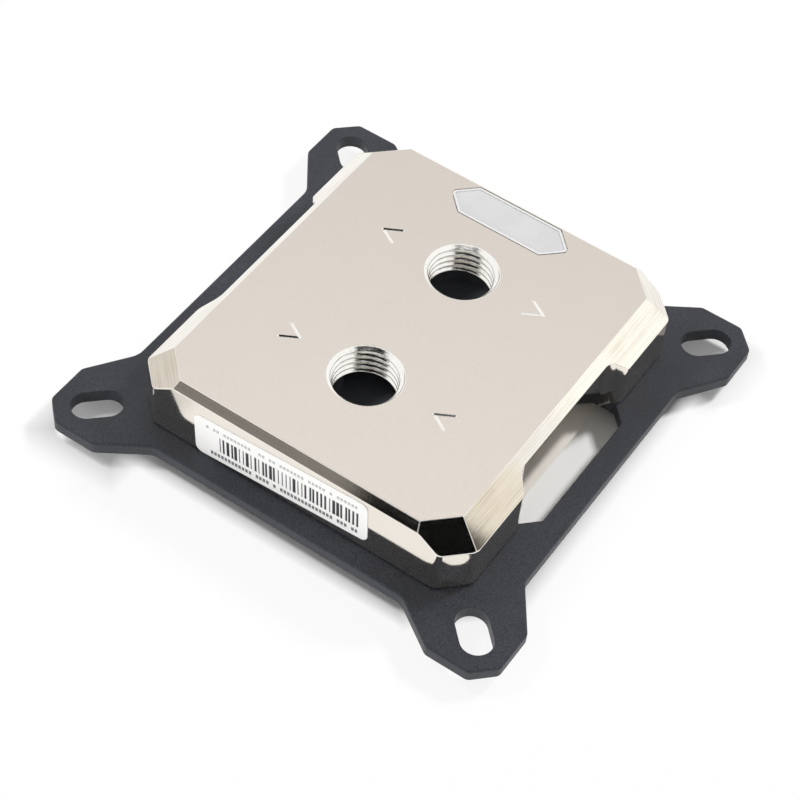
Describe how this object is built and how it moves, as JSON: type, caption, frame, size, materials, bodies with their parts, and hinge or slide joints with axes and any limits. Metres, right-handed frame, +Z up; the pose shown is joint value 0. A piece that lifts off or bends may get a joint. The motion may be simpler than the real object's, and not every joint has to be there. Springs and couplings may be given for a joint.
{
  "type": "cpu water block",
  "caption": "Nickel-plated CPU water block with a bevelled cover, threaded inlet and outlet ports, a finned cold plate and a black slotted mounting bracket.",
  "frame": {"origin": "middle of the cold plate's underside, which is the lowest face of the part", "axes": "+Z up out of the ports, +Y from the inlet port to the outlet port and the badge, +X to the right of the inlet end wall that carries the label"},
  "size_m": [0.092, 0.092, 0.0185],
  "materials": {
    "nickel_cover": "nickel plate over machined brass, satin on top and brushed on the bevels",
    "badge": "frosted field with a bright rim",
    "label": "white printed film",
    "bracket": "matte black with a fine grain",
    "nickel_base": "lapped nickel plate over copper",
    "insert": "black moulded plastic",
    "jet_plate": "cut sheet",
    "seal": "matte rubber",
    "screws": "stainless"
  },
  "bodies": {
    "root": {"top_cover": "nickel_cover", "top_badge": "badge", "side_label": "label", "mounting_bracket": "bracket", "cold_plate": "nickel_base", "flow_insert": "insert", "jet_plate": "jet_plate", "main_seal": "seal", "base_screws": "screws", "bracket_screws": "screws"}
  },
  "joints": []
}
